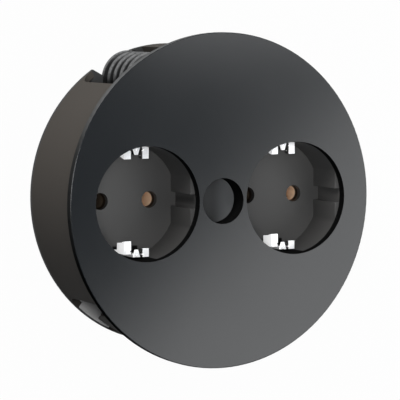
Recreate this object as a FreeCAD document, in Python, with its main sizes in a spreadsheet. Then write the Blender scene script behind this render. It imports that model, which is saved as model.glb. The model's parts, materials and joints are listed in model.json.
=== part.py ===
import FreeCAD, Part
import math
import os
import Sketcher

# In-desk power module: twin earthed socket insert in a round housing under a flush cover.
# Frame: +Z out of the desk, +Y to the top of the sockets, origin on the axis in the plane of
# the cover's underside, which is the plane of the desk top.

NUMBERS = {
    # cover
    "cover_lip": 4.45,
    "cover_thick": 2.5,
    "cover_edge": 0.35,
    "relief_wide": 0.5,
    "relief_deep": 0.4,
    "hook_wide": 6.0,
    "hook_thick": 1.4,
    "hook_x": 9.0,
    "hook_gap": 4.15,
    "hook_nose": 0.7,
    "hook_end": 2.2,
    "hook_root": 0.2,
    # sockets, to the usual earthed pattern
    "recess_dia": 39.7,
    "recess_depth": 18.3,
    "flat_depth": 3.3,
    "flat_cut": 1.95,
    "groove_wide": 5.0,
    "groove_deep": 1.9,
    "pin_pitch": 19.0,
    "pin_hole_dia": 5.9,
    "floor_thick": 2.0,
    "cup_wall": 1.9,
    "web_half": 12.0,
    "web_side": 1.2,
    "post_gap": 0.15,
    "post_rad": 3.6,
    # centre well
    "well_dia": 16.0,
    "well_depth": 6.9,
    "cap_thick": 1.2,
    "cap_gap": 0.1,
    "head_room": 1.0,
    # housing
    "cup_clear": 0.65,
    "wall": 2.5,
    "rear_space": 5.3,
    "flange_thick": 2.2,
    "flange_gap": 0.25,
    "ledge_wide": 3.0,
    "plate_thick": 1.3,
    "boss_bite": 0.25,
    "boss_rad": 5.2,
    "boss_gap": 1.212,
    # grip plugs, their pockets and windows
    "plug_dia": 20.2,
    "plug_proud": 0.15,
    "plug_bevel": 0.4,
    "rib_deep": 1.1,
    "rib_gap": 1.7,
    "rib_top": 0.3,
    "rib_root": 0.2,
    "plain_top": 7.35,
    "plug_clear": 0.4,
    "pocket_near": 0.9,
    "pocket_wall": 1.4,
    "pocket_spare": 8.5,
    "pocket_side": 2.2,
    "pocket_gap": 0.706,
    "ceiling_low": 7.4,
    "ceiling_top": 4.4,
    "window_before": 9.4,
    "window_after": 20.1,
    "corner_rad": 6.0,
    "mouth_turn": 29.7,
    "mouth_wide": 5.2,
    "mouth_high": 6.0,
    # outlet opening, its angles counted from the boss beside it
    "outlet_start": 6.4,
    "outlet_step": 13.8,
    "outlet_slot": 17.3,
    "outlet_end": 28.0,
    "outlet_top": 7.5,
    "outlet_low": 9.8,
    "outlet_bevel": 7.5,
    # contacts
    "sleeve_dia": 7.4,
    "sleeve_bore": 4.8,
    "sleeve_mouth": 5.7,
    "mouth_deep": 2.5,
    "sleeve_slit": 0.8,
    "stack_gap": 1.9,
    "bar_thick": 1.0,
    "bar_near": 6.0,
    "bar_far": 11.0,
    "bar_end": 4.0,
    "strip_thick": 0.8,
    "clip_wide": 9.4,
    "clip_gap": 3.6,
    "clip_back": 0.85,
    "clip_step": 1.1,
    "clip_high": 9.3,
    "clip_play": 0.15,
    "reach_top": 4.0,
    "reach_left": 4.5,
    "reach_right": 2.9,
    "notch_wide": 1.0,
    "notch_far": 0.8,
    "notch_near": 1.6,
    "lip_deep": 2.2,
    "lip_bend": 0.3,
    "cheek_deep": 6.0,
    "cheek_lean": 0.9,
    "tooth_wide": 2.7,
    "tooth_tip": 1.0,
    "tooth_reach": 2.6,
    "tooth_notch": 0.9,
    "carrier_thick": 2.0,
    "carrier_rim": 1.75,
    "carrier_side": 6.0,
    "tab_rim": 5.0,
    "tab_half": 8.0,
    "hub_rad": 4.5,
    # fasteners
    "screw_dia": 3.0,
    "screw_head": 5.6,
    "screw_long": 12.0,
    "rear_long": 10.0,
    "flat_slot": 0.8,
    "stud_dia": 4.0,
    "stud_head": 8.0,
    "head_high": 2.6,
    "head_sink": 0.1,
    "slot_wide": 1.2,
    "slot_long": 6.0,
    "washer_dia": 14.0,
    "washer_thick": 1.6,
    "cage_wide": 8.0,
    "cage_deep": 5.0,
    "cage_high": 8.0,
    "cage_in": 6.0,
    "cage_head": 1.5,
    "wire_bore": 3.2,
}

doc = FreeCAD.newDocument("power_module")
sheet = doc.addObject("Spreadsheet::Sheet", "Sizes")
for row, (name, number) in enumerate(NUMBERS.items(), start=1):
    sheet.set("A%d" % row, name)
    sheet.set("B%d" % row, str(number))
    sheet.setAlias("B%d" % row, name)
doc.recompute()


class Size:
    """A length that carries both its value and its spreadsheet expression."""

    def __init__(self, value, text):
        self.value = value
        self.text = text

    @staticmethod
    def of(thing):
        return thing if isinstance(thing, Size) else Size(float(thing), "%.6f" % thing)

    def __add__(self, other):
        other = Size.of(other)
        return Size(self.value + other.value, "(%s + %s)" % (self.text, other.text))

    def __sub__(self, other):
        other = Size.of(other)
        return Size(self.value - other.value, "(%s - %s)" % (self.text, other.text))

    def __mul__(self, other):
        other = Size.of(other)
        return Size(self.value * other.value, "(%s * %s)" % (self.text, other.text))

    def __truediv__(self, other):
        other = Size.of(other)
        return Size(self.value / other.value, "(%s / %s)" % (self.text, other.text))

    def __neg__(self):
        return Size(-self.value, "(0 - %s)" % self.text)

    def __radd__(self, other):
        return Size.of(other) + self

    def __rsub__(self, other):
        return Size.of(other) - self

    def __rmul__(self, other):
        return Size.of(other) * self


def cos(angle):
    return Size(math.cos(math.radians(angle.value)), "cos(%s * 1 deg)" % angle.text)


def sin(angle):
    return Size(math.sin(math.radians(angle.value)), "sin(%s * 1 deg)" % angle.text)


def arccos(number):
    return Size(math.degrees(math.acos(number.value)), "(acos(%s) / 1 deg)" % number.text)


def root(number):
    return Size(math.sqrt(number.value), "sqrt(%s)" % number.text)


def polar(radius, angle):
    return radius * cos(angle), radius * sin(angle)


d = {name: Size(number, "Sizes." + name) for name, number in NUMBERS.items()}

derived = doc.addObject("Spreadsheet::Sheet", "Derived")


def follow(name, size):
    """Keeps a size that follows from the others in the second sheet, as its formula."""
    row = len(follow.names) + 1
    follow.names.append(name)
    derived.set("A%d" % row, name)
    derived.set("B%d" % row, "=" + size.text)
    derived.setAlias("B%d" % row, name)
    return Size(size.value, "Derived." + name)


follow.names = []

# Radii and places that follow from the sheet
recess_rad = follow("recess_rad", d["recess_dia"] / 2)
flat_half = follow("flat_half", recess_rad - d["flat_cut"])
half_pitch = follow("half_pitch", recess_rad + d["well_dia"] / 2 + d["web_side"])
cup_rad = follow("cup_rad", recess_rad + d["cup_wall"])
bore_rad = follow("bore_rad", half_pitch + cup_rad + d["cup_clear"])
body_rad = follow("body_rad", bore_rad + d["wall"])
cover_rad = follow("cover_rad", body_rad + d["cover_lip"])
flange_rad = follow("flange_rad", bore_rad - d["flange_gap"])
post_y = follow("post_y", recess_rad + d["post_gap"])
hook_y = follow("hook_y", recess_rad + d["hook_gap"])
sleeve_rad = follow("sleeve_rad", d["sleeve_dia"] / 2)
plug_rad = follow("plug_rad", d["plug_dia"] / 2)
plug_far = follow("plug_far", body_rad + d["plug_proud"] - plug_rad)
pocket_inner = follow("pocket_inner", plug_far - plug_rad - d["pocket_near"])
pocket_left = follow("pocket_left", plug_rad + d["pocket_spare"])
pocket_right = follow("pocket_right", plug_rad + d["pocket_side"])

# The bosses and the plugs' pockets lie as near to the cups as their gaps allow
boss_far = follow("boss_far", bore_rad - d["boss_rad"] + d["boss_bite"])
boss_clear = cup_rad + d["boss_rad"] + d["boss_gap"]
boss_share = (boss_far * boss_far + half_pitch * half_pitch - boss_clear * boss_clear) / (boss_far * half_pitch * 2)
boss_turn = follow("boss_turn", arccos(boss_share))
corner_x = pocket_left + d["pocket_wall"]
corner_y = pocket_inner - d["pocket_wall"]
corner_far = follow("corner_far", root(corner_x * corner_x + corner_y * corner_y))
corner_clear = cup_rad + d["pocket_gap"]
corner_share = corner_far * corner_far + half_pitch * half_pitch - corner_clear * corner_clear
corner_turn = follow("corner_turn", arccos(corner_share / (corner_far * half_pitch * 2)))
plug_turn = follow("plug_turn", 180 - corner_turn - arccos(corner_y / corner_far))

# Levels, counted from the desk plane
floor_top = follow("floor_top", d["cover_thick"] - d["recess_depth"])
floor_low = follow("floor_low", floor_top - d["floor_thick"])
cap_top = follow("cap_top", d["cover_thick"] - d["well_depth"])
cap_low = follow("cap_low", cap_top - d["cap_thick"])
head_seat = follow("head_seat", cap_low - d["head_high"] - d["head_room"])
earth_top = follow("earth_top", floor_low - d["strip_thick"])
cage_low = follow("cage_low", earth_top - d["bar_thick"] - d["cage_high"])
bar_top = follow("bar_top", cage_low - d["cage_head"] - d["stack_gap"])
bar_low = follow("bar_low", bar_top - d["bar_thick"])
carrier_low = follow("carrier_low", bar_low - d["carrier_thick"])
shell_low = follow("shell_low", carrier_low - d["rear_space"])
rear_low = follow("rear_low", shell_low - d["plate_thick"])
sleeve_long = follow("sleeve_long", floor_low - bar_top)
clip_top = follow("clip_top", floor_top + d["clip_high"])
doc.recompute()


def body_for(label):
    """A new PartDesign body; its label names the node."""
    body = doc.addObject("PartDesign::Body", label)
    body.Label = label
    return body


def sketch_on(body, plane, height=None, turn=None, name="Sketch"):
    """A sketch on one of the body's own origin planes, lifted by height and turned about +Z."""
    sketch = body.newObject("Sketcher::SketchObject", name)
    for feature in body.Origin.OriginFeatures:
        if feature.Role == plane:
            sketch.AttachmentSupport = [(feature, "")]
    sketch.MapMode = "FlatFace"
    flat = plane == "XY_Plane"
    axis = FreeCAD.Vector(0, 0, 1) if flat else FreeCAD.Vector(0, 1, 0)
    turn = Size.of(0) if turn is None else turn
    height = Size.of(0) if height is None else height
    lift = {"z": height} if flat else {"x": height * sin(turn), "z": height * cos(turn)}
    base = FreeCAD.Vector(*(lift[key].value if key in lift else 0 for key in "xyz"))
    sketch.AttachmentOffset = FreeCAD.Placement(base, FreeCAD.Rotation(axis, turn.value))
    for key, size in lift.items():
        sketch.setExpression("AttachmentOffset.Base." + key, size.text)
    if turn.value:
        sketch.setExpression("AttachmentOffset.Rotation.Angle", turn.text)
    return sketch


def fix_point(sketch, geometry, end, x, y=None):
    """Ties one point of a sketch to the sheet; without y only its place along X."""
    for kind, size in (("DistanceX", x), ("DistanceY", y)):
        if size is None:
            continue
        size = Size.of(size)
        index = sketch.addConstraint(Sketcher.Constraint(kind, -1, 1, geometry, end, size.value))
        sketch.setExpression("Constraints[%d]" % index, size.text)


def circle(sketch, x, y, radius):
    x, y, radius = Size.of(x), Size.of(y), Size.of(radius)
    centre = FreeCAD.Vector(x.value, y.value, 0)
    index = sketch.addGeometry(Part.Circle(centre, FreeCAD.Vector(0, 0, 1), radius.value), False)
    rule = sketch.addConstraint(Sketcher.Constraint("Radius", index, radius.value))
    sketch.setExpression("Constraints[%d]" % rule, radius.text)
    fix_point(sketch, index, 3, x, y)


def polygon(sketch, points):
    """A closed outline whose corners are all tied to the sheet."""
    points = [(Size.of(x), Size.of(y)) for x, y in points]
    vectors = [FreeCAD.Vector(x.value, y.value, 0) for x, y in points]
    first = sketch.GeometryCount
    count = len(points)
    for i in range(count):
        sketch.addGeometry(Part.LineSegment(vectors[i], vectors[(i + 1) % count]), False)
    for i in range(count):
        sketch.addConstraint(Sketcher.Constraint("Coincident", first + i, 2, first + (i + 1) % count, 1))
    for i, (x, y) in enumerate(points):
        fix_point(sketch, first + i, 1, x, y)


def rectangle(sketch, x0, y0, x1, y1):
    polygon(sketch, [(x0, y0), (x1, y0), (x1, y1), (x0, y1)])


def pad(body, sketch, length, down=True, middle=False, name="Pad"):
    feature = body.newObject("PartDesign::Pad", name)
    feature.Profile = sketch
    feature.Reversed = down
    feature.Midplane = middle
    feature.Length = Size.of(length).value
    feature.setExpression("Length", Size.of(length).text)
    sketch.Visibility = False
    return feature


def pocket(body, sketch, length, down=True, middle=False, name="Pocket"):
    """Cuts from the sketch downwards, or upwards when down is False."""
    feature = body.newObject("PartDesign::Pocket", name)
    feature.Profile = sketch
    feature.Reversed = not down
    feature.Midplane = middle
    feature.Length = Size.of(length).value
    feature.setExpression("Length", Size.of(length).text)
    return feature


def edges_at(shape, height, radius):
    """Names of the full circular edges of one radius at one level."""
    names = []
    for i, edge in enumerate(shape.Edges, start=1):
        if isinstance(edge.Curve, Part.Circle) and abs(edge.Curve.Radius - radius) < 0.01:
            if abs(edge.Curve.Center.z - height) < 0.01:
                names.append("Edge%d" % i)
    return names


def sides():
    """The two sockets: the sign of X and the word for the node's name."""
    return ((-1, "left"), (1, "right"))


def make_cover():
    """Flat round cover with its holes and four snap hooks."""
    body = body_for("cover_plate")
    disc = sketch_on(body, "XY_Plane")
    circle(disc, 0, 0, cover_rad)
    for sign, _ in sides():
        circle(disc, half_pitch * sign, 0, recess_rad)
    circle(disc, 0, 0, d["well_dia"] / 2)
    plate = pad(body, disc, d["cover_thick"], down=False)
    doc.recompute()
    edge = body.newObject("PartDesign::Fillet", "Edge")
    edge.Base = (plate, edges_at(plate.Shape, d["cover_thick"].value, cover_rad.value))
    edge.Radius = d["cover_edge"].value
    edge.setExpression("Radius", d["cover_edge"].text)
    body.Tip = edge
    relief = sketch_on(body, "XY_Plane")
    circle(relief, 0, 0, body_rad)
    circle(relief, 0, 0, body_rad + d["relief_wide"])
    pocket(body, relief, d["relief_deep"], down=False)
    reach = d["flange_thick"] + 0.1
    low = reach + d["hook_end"]
    near, far = hook_y, hook_y + d["hook_thick"]
    for sign_x in (-1, 1):
        for sign_y in (-1, 1):
            hook = sketch_on(body, "YZ_Plane", d["hook_x"] * sign_x)
            corners = [(near, d["hook_root"]), (far, d["hook_root"]), (far, -reach),
                       (far + d["hook_nose"], -reach - 0.1), (far, -low), (near, -low)]
            polygon(hook, [(a * sign_y, b) for a, b in corners])
            pad(body, hook, d["hook_wide"], middle=True)
    return body


def recess_outline(sketch, x):
    """Round recess cut off by a flat on its left and right."""
    half = flat_half
    high = root(recess_rad * recess_rad - half * half)
    bend = math.degrees(math.atan2(high.value, half.value))
    centre = FreeCAD.Vector(x.value, 0, 0)
    ring = Part.Circle(centre, FreeCAD.Vector(0, 0, 1), recess_rad.value)
    first = sketch.GeometryCount
    sketch.addGeometry(Part.ArcOfCircle(ring, math.radians(bend), math.radians(180 - bend)), False)
    sketch.addGeometry(Part.ArcOfCircle(ring, math.radians(180 + bend), math.radians(360 - bend)), False)
    left, right = x.value - half.value, x.value + half.value
    sketch.addGeometry(Part.LineSegment(FreeCAD.Vector(left, high.value, 0), FreeCAD.Vector(left, -high.value, 0)), False)
    sketch.addGeometry(Part.LineSegment(FreeCAD.Vector(right, -high.value, 0), FreeCAD.Vector(right, high.value, 0)), False)
    for one, other in (((0, 2), (2, 1)), ((2, 2), (1, 1)), ((1, 2), (3, 1)), ((3, 2), (0, 1))):
        sketch.addConstraint(Sketcher.Constraint("Coincident", first + one[0], one[1], first + other[0], other[1]))
    sketch.addConstraint(Sketcher.Constraint("Coincident", first, 3, first + 1, 3))
    fix_point(sketch, first, 3, x, 0)
    rule = sketch.addConstraint(Sketcher.Constraint("Radius", first, recess_rad.value))
    sketch.setExpression("Constraints[%d]" % rule, recess_rad.text)
    for line, place in ((2, x - half), (3, x + half)):
        sketch.addConstraint(Sketcher.Constraint("Vertical", first + line))
        rule = sketch.addConstraint(Sketcher.Constraint("DistanceX", -1, 1, first + line, 1, place.value))
        sketch.setExpression("Constraints[%d]" % rule, place.text)


def boss_places():
    """The four bosses of the housing, mirrored about both axes."""
    x, y = polar(boss_far, boss_turn)
    return [(x * a, y * b) for a in (-1, 1) for b in (-1, 1)]


def plug_places():
    """The two grip plugs, opposite each other."""
    x, y = polar(plug_far, plug_turn)
    return [(x, y), (-x, -y)]


def make_block():
    """Twin socket insert: flange, two cups, web with the centre well, and two posts."""
    body = body_for("socket_block")
    flange = sketch_on(body, "XY_Plane")
    circle(flange, 0, 0, flange_rad)
    pad(body, flange, d["flange_thick"])
    for sign, _ in sides():
        cup = sketch_on(body, "XY_Plane")
        circle(cup, half_pitch * sign, 0, cup_rad)
        pad(body, cup, -floor_low)
    web = sketch_on(body, "XY_Plane")
    rectangle(web, -half_pitch, -d["web_half"], half_pitch, d["web_half"])
    pad(body, web, -floor_low)
    for sign in (-1, 1):
        post = sketch_on(body, "XY_Plane")
        circle(post, 0, post_y * sign, d["post_rad"])
        pad(body, post, -bar_low)
    lead = d["flat_depth"] - d["cover_thick"]
    play = d["clip_play"]
    slot_out = recess_rad - play
    slot_in = recess_rad - d["clip_back"] - d["strip_thick"] - play
    slot_half = d["clip_wide"] / 2 + play
    tooth_half = d["tooth_wide"] / 2 + play
    for sign, _ in sides():
        x = half_pitch * sign
        mouth = sketch_on(body, "XY_Plane")
        circle(mouth, x, 0, recess_rad)
        pocket(body, mouth, lead)
        deep = sketch_on(body, "XY_Plane")
        recess_outline(deep, x)
        pocket(body, deep, -floor_top)
        groove = sketch_on(body, "XY_Plane", -lead)
        reach = flat_half + d["groove_deep"]
        rectangle(groove, x - reach, -d["groove_wide"] / 2, x + reach, d["groove_wide"] / 2)
        pocket(body, groove, -floor_top - lead)
        holes = sketch_on(body, "XY_Plane", floor_top + 1)
        for side in (-1, 1):
            circle(holes, x + d["pin_pitch"] / 2 * side, 0, d["pin_hole_dia"] / 2)
        pocket(body, holes, d["floor_thick"] + 2)
        high = sketch_on(body, "XY_Plane", floor_top)
        rectangle(high, x - slot_half, slot_in, x + slot_half, slot_out)
        pocket(body, high, d["floor_thick"] + 1)
        low = sketch_on(body, "XY_Plane", floor_top)
        step_in, step_out = slot_in - d["clip_step"], slot_in + play
        polygon(low, [(x - slot_half, -step_out), (x - tooth_half, -step_out), (x - tooth_half, -slot_out),
                      (x + slot_half, -slot_out), (x + slot_half, -slot_in), (x - tooth_half + play * 2, -slot_in),
                      (x - tooth_half + play * 2, -step_in), (x - slot_half, -step_in)])
        pocket(body, low, d["floor_thick"] + 1)
    well = sketch_on(body, "XY_Plane")
    circle(well, 0, 0, d["well_dia"] / 2)
    pocket(body, well, -cap_low)
    nest = sketch_on(body, "XY_Plane")
    circle(nest, 0, 0, d["stud_head"] / 2 + 0.5)
    pocket(body, nest, -head_seat)
    passing = sketch_on(body, "XY_Plane")
    circle(passing, 0, 0, d["stud_dia"] / 2 + 0.2)
    pocket(body, passing, -floor_low + 1)
    rim = sketch_on(body, "XY_Plane", Size.of(1))
    for x, y in plug_places():
        circle(rim, x, y, d["stud_head"] / 2 + 0.7)
    for sign_x in (-1, 1):
        for sign_y in (-1, 1):
            x, wide = d["hook_x"] * sign_x, d["hook_wide"] / 2 + 0.2
            near, far = (hook_y - d["hook_nose"] - 0.1) * sign_y, (hook_y + d["hook_thick"] + 0.1) * sign_y
            rectangle(rim, x - wide, near, x + wide, far)
    pocket(body, rim, d["flange_thick"] + 2)
    pilot = sketch_on(body, "XY_Plane", bar_low - 1)
    for sign in (-1, 1):
        circle(pilot, 0, post_y * sign, d["screw_dia"] / 2)
    pocket(body, pilot, d["screw_long"], down=False)
    doc.recompute()
    seats = sketch_on(body, "XY_Plane")
    for x, y in boss_places():
        circle(seats, x, y, d["screw_dia"] / 2)
    doc.recompute()
    hole = body.newObject("PartDesign::Hole", "ScrewSeat")
    hole.Profile = seats
    hole.ThreadType = 0
    hole.DepthType = 0
    hole.Diameter = d["screw_dia"].value
    hole.Depth = 6
    hole.HoleCutType = 2
    hole.HoleCutCustomValues = True
    hole.HoleCutCountersinkAngle = 90
    hole.setExpression("Diameter", (d["screw_dia"] + 0.2).text)
    hole.setExpression("HoleCutDiameter", (d["screw_head"] + d["head_sink"] * 2).text)
    hole.setExpression("Depth", (d["flange_thick"] + 3).text)
    return body


def make_shell():
    """Housing: wall, ledge, bosses, two plug pockets, windows and the outlet opening."""
    body = body_for("housing_shell")
    ring = sketch_on(body, "XY_Plane")
    circle(ring, 0, 0, body_rad)
    circle(ring, 0, 0, bore_rad)
    pad(body, ring, -shell_low)
    ledge = sketch_on(body, "XY_Plane", -d["flange_thick"])
    circle(ledge, 0, 0, body_rad - 0.5)
    circle(ledge, 0, 0, bore_rad - d["ledge_wide"])
    pad(body, ledge, d["ceiling_top"] - d["flange_thick"])
    beside = sketch_on(body, "XY_Plane", -d["flange_thick"])
    for sign, _ in sides():
        circle(beside, half_pitch * sign, 0, cup_rad + 0.3)
    pocket(body, beside, d["ceiling_top"])
    for x, y in boss_places():
        boss = sketch_on(body, "XY_Plane", -d["flange_thick"])
        circle(boss, x, y, d["boss_rad"])
        pad(body, boss, -shell_low - d["flange_thick"])
    low, wide = -d["ceiling_top"], body_rad + 10
    left, right, inner, thick = pocket_left, pocket_right, pocket_inner, d["pocket_wall"]
    for turn in (plug_turn - 90, plug_turn + 90):
        frame = sketch_on(body, "XY_Plane", low, turn)
        polygon(frame, [(-left - thick, wide), (-left - thick, inner - thick), (right + thick, inner - thick),
                        (right + thick, wide), (right, wide), (right, inner), (-left, inner), (-left, wide)])
        pad(body, frame, -shell_low - d["ceiling_top"])
        ceiling = sketch_on(body, "XY_Plane", low, turn)
        rectangle(ceiling, -left - thick, inner - thick, right + thick, wide)
        pad(body, ceiling, d["ceiling_low"] - d["ceiling_top"])
    trim = sketch_on(body, "XY_Plane", Size.of(1))
    circle(trim, 0, 0, body_rad * 2)
    circle(trim, 0, 0, body_rad)
    pocket(body, trim, -shell_low + 2)
    half = (d["window_after"] + d["window_before"]) / 2
    middle = plug_turn + (d["window_after"] - d["window_before"]) / 2
    top = -d["ceiling_low"]
    span = body_rad * sin(half)
    bend = d["corner_rad"]
    for turn in (middle, middle + 180):
        window = sketch_on(body, "XZ_Plane", bore_rad * cos(half) - 1, turn + 90)
        rounded(window, [(-span, top), (-span, shell_low), (span, shell_low), (span, top)], 2, bend)
        pocket(body, window, d["wall"] + 12, down=False, name="Window")
    mid_out = boss_turn + 180 + (d["outlet_start"] + d["outlet_end"]) / 2
    reach = bore_rad * cos((d["outlet_end"] - d["outlet_start"]) / 2) - 1
    outlet = sketch_on(body, "XZ_Plane", reach, mid_out + 90)
    names = ("outlet_start", "outlet_step", "outlet_slot", "outlet_end")
    start, step, slot, end = [body_rad * sin(boss_turn + 180 + d[key] - mid_out) for key in names]
    top, high = -d["outlet_top"], shell_low + d["outlet_low"]
    rounded(outlet, [(start, top), (step, top), (step, high + d["outlet_bevel"]), (slot, high),
                     (end, high), (end, shell_low), (start, shell_low)], 6, bend)
    pocket(body, outlet, d["wall"] + 12, down=False, name="Outlet")
    low_holes = sketch_on(body, "XY_Plane", shell_low - 1)
    top_holes = sketch_on(body, "XY_Plane", Size.of(0))
    for x, y in boss_places():
        circle(low_holes, x, y, d["screw_dia"] / 2)
        circle(top_holes, x, y, d["screw_dia"] / 2)
    pocket(body, low_holes, d["screw_long"], down=False)
    pocket(body, top_holes, d["screw_long"] + 1)
    stems = sketch_on(body, "XY_Plane", Size.of(0))
    for x, y in plug_places():
        circle(stems, x, y, d["stud_dia"] / 2 + 0.1)
    pocket(body, stems, d["ceiling_low"] + 1)
    return body


def rounded(sketch, points, corner, bend):
    """Closed outline tied to the sheet, with one square corner between upright and level sides rounded."""
    points = [(Size.of(x), Size.of(y)) for x, y in points]
    count = len(points)
    before, here, after = points[corner - 1], points[corner], points[(corner + 1) % count]
    start = toward(here, before, bend)
    end = toward(here, after, bend)
    centre = (start[0] + end[0] - here[0], start[1] + end[1] - here[1])
    path = points[corner + 1:] + points[:corner]
    path = [end] + path + [start]
    first = sketch.GeometryCount
    for (x0, y0), (x1, y1) in zip(path[:-1], path[1:]):
        sketch.addGeometry(Part.LineSegment(FreeCAD.Vector(x0.value, y0.value, 0), FreeCAD.Vector(x1.value, y1.value, 0)), False)
    last = sketch.GeometryCount - 1
    for i in range(first, last):
        sketch.addConstraint(Sketcher.Constraint("Coincident", i, 2, i + 1, 1))
    for i, (x, y) in enumerate(path[:-1]):
        fix_point(sketch, first + i, 1, x, y)
    fix_point(sketch, last, 2, *start)
    angles = [math.atan2((p[1] - centre[1]).value, (p[0] - centre[0]).value) for p in (start, end)]
    forward = (angles[1] - angles[0]) % (2 * math.pi) < math.pi
    low, high = angles if forward else angles[::-1]
    ring = Part.Circle(FreeCAD.Vector(centre[0].value, centre[1].value, 0), FreeCAD.Vector(0, 0, 1), bend.value)
    arc = sketch.addGeometry(Part.ArcOfCircle(ring, low, high if high > low else high + 2 * math.pi), False)
    sketch.addConstraint(Sketcher.Constraint("Coincident", arc, 1 if forward else 2, last, 2))
    sketch.addConstraint(Sketcher.Constraint("Coincident", arc, 2 if forward else 1, first, 1))
    fix_point(sketch, arc, 3, centre[0])


def toward(here, other, reach):
    """The point at the given reach from one corner along an upright or level side."""
    dx, dy = other[0].value - here[0].value, other[1].value - here[1].value
    if abs(dx) > abs(dy):
        return here[0] + reach * math.copysign(1, dx), here[1]
    return here[0], here[1] + reach * math.copysign(1, dy)


def make_rear_plate():
    """Thin plate with a round notch for each plug; each notch opens to the rim."""
    body = body_for("rear_plate")
    disc = sketch_on(body, "XY_Plane", shell_low)
    circle(disc, 0, 0, body_rad)
    pad(body, disc, d["plate_thick"])
    hole_rad = plug_rad + d["plug_clear"]
    centre = plug_far
    for turn in (plug_turn - 90, plug_turn + 90):
        notch = sketch_on(body, "XY_Plane", shell_low + 1, turn)
        circle(notch, 0, centre, hole_rad)
        pocket(body, notch, d["plate_thick"] + 2)
        mouth = sketch_on(body, "XY_Plane", shell_low + 1, turn)
        side_x, side_y = hole_rad * cos(d["mouth_turn"]), centre + hole_rad * sin(d["mouth_turn"])
        out_x, out_y = side_x + d["mouth_wide"], side_y + d["mouth_high"]
        tip = hole_rad * 0.357
        tip_y = centre + root(hole_rad * hole_rad - tip * tip)
        polygon(mouth, [(0, centre), (-side_x, side_y), (-out_x, out_y), (tip, out_y + d["mouth_high"] / 2), (tip, tip_y)])
        pocket(body, mouth, d["plate_thick"] + 2)
    seats = sketch_on(body, "XY_Plane", rear_low)
    for x, y in boss_places():
        circle(seats, x, y, d["screw_dia"] / 2)
    doc.recompute()
    hole = body.newObject("PartDesign::Hole", "ScrewSeat")
    hole.Profile = seats
    hole.Reversed = True
    hole.ThreadType = 0
    hole.DepthType = 0
    hole.Diameter = d["screw_dia"].value
    hole.Depth = 6
    hole.HoleCutType = 2
    hole.HoleCutCustomValues = True
    hole.HoleCutCountersinkAngle = 90
    hole.setExpression("Diameter", (d["screw_dia"] + 0.2).text)
    hole.setExpression("HoleCutDiameter", d["screw_head"].text)
    hole.setExpression("Depth", (d["plate_thick"] + 2).text)
    return body


def make_cap():
    """Loose disc that closes the centre well over the screw."""
    body = body_for("centre_cap")
    disc = sketch_on(body, "XY_Plane", cap_top)
    circle(disc, 0, 0, d["well_dia"] / 2 - d["cap_gap"])
    pad(body, disc, d["cap_thick"])
    return body


def make_earth_clip(sign, word):
    """Earth contact folded from one sheet: a base under the floor and, at each end, two hooked
    prongs with a cheek on their outer side and a forked tooth between them."""
    body = body_for("earth_clip_" + word)
    half, gap, thick = d["clip_wide"] / 2, d["clip_gap"] / 2, d["strip_thick"]
    stand = recess_rad - d["clip_back"]
    prong, centre = half - gap, (half + gap) / 2
    base = sketch_on(body, "XY_Plane", floor_low)
    rectangle(base, -half, -stand, half, stand)
    pad(body, base, thick)
    reaches = {(-1, -1): "reach_left", (-1, 1): "reach_right", (1, -1): "reach_top", (1, 1): "reach_top"}
    for end in (-1, 1):
        for side in (-1, 1):
            back = stand - d["clip_step"] if end < 0 and side < 0 else stand
            nose = back - d[reaches[end, side]]
            leg = sketch_on(body, "YZ_Plane", centre * side)
            rectangle(leg, back * end, floor_low - thick / 2, (back - thick) * end, clip_top)
            pad(body, leg, prong, middle=True)
            top = sketch_on(body, "XY_Plane", clip_top)
            inner, outer = gap * side, half * side
            corners = [(outer, nose), (inner, nose), (inner, back - d["notch_near"]),
                       (inner + d["notch_wide"] * side, back - d["notch_far"]), (inner, back - d["notch_far"]),
                       (inner, back), (outer, back)]
            polygon(top, [(x, y * end) for x, y in corners])
            pad(body, top, thick)
            lip = sketch_on(body, "YZ_Plane", centre * side)
            bend, deep = d["lip_bend"], d["lip_deep"]
            corners = [(nose + bend, clip_top), (nose, clip_top - bend), (nose + bend, clip_top - deep),
                       (nose + bend + thick, clip_top - deep), (nose + thick, clip_top - thick), (nose + thick, clip_top)]
            polygon(lip, [(y * end, z) for y, z in corners])
            pad(body, lip, prong, middle=True)
            cheek = sketch_on(body, "YZ_Plane", (half - thick / 2) * side)
            low = clip_top - d["cheek_deep"]
            corners = [(nose + bend, clip_top), (back, clip_top), (back, low), (nose + d["cheek_lean"], low)]
            polygon(cheek, [(y * end, z) for y, z in corners])
            pad(body, cheek, thick, middle=True)
        wide, tip = d["tooth_wide"] / 2, d["tooth_tip"] / 2
        stem = sketch_on(body, "YZ_Plane")
        rectangle(stem, stand * end, floor_low - thick / 2, (stand - thick) * end, clip_top - thick / 2)
        pad(body, stem, wide * 2, middle=True)
        tooth = sketch_on(body, "XY_Plane", clip_top)
        point, fork = stand - d["tooth_reach"], d["tooth_notch"] / 2
        corners = [(-tip, point), (tip, point), (wide, stand), (fork, stand), (0, stand - fork * 3), (-fork, stand),
                   (-wide, stand)]
        polygon(tooth, [(x, y * end) for x, y in corners])
        pad(body, tooth, thick)
    body.Placement.Base = FreeCAD.Vector(half_pitch.value * sign, 0, 0)
    body.setExpression("Placement.Base.x", (half_pitch * sign).text)
    return body


def cylinder(name, radius, height, x, y, z):
    node = doc.addObject("Part::Cylinder", name)
    for key, size in (("Radius", radius), ("Height", height), ("Placement.Base.x", x), ("Placement.Base.y", y), ("Placement.Base.z", z)):
        node.setExpression(key, Size.of(size).text)
    return node


def cone(name, low_rad, top_rad, height, x, y, z):
    node = doc.addObject("Part::Cone", name)
    for key, size in (("Radius1", low_rad), ("Radius2", top_rad), ("Height", height), ("Placement.Base.x", x),
                      ("Placement.Base.y", y), ("Placement.Base.z", z)):
        node.setExpression(key, Size.of(size).text)
    return node


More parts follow.
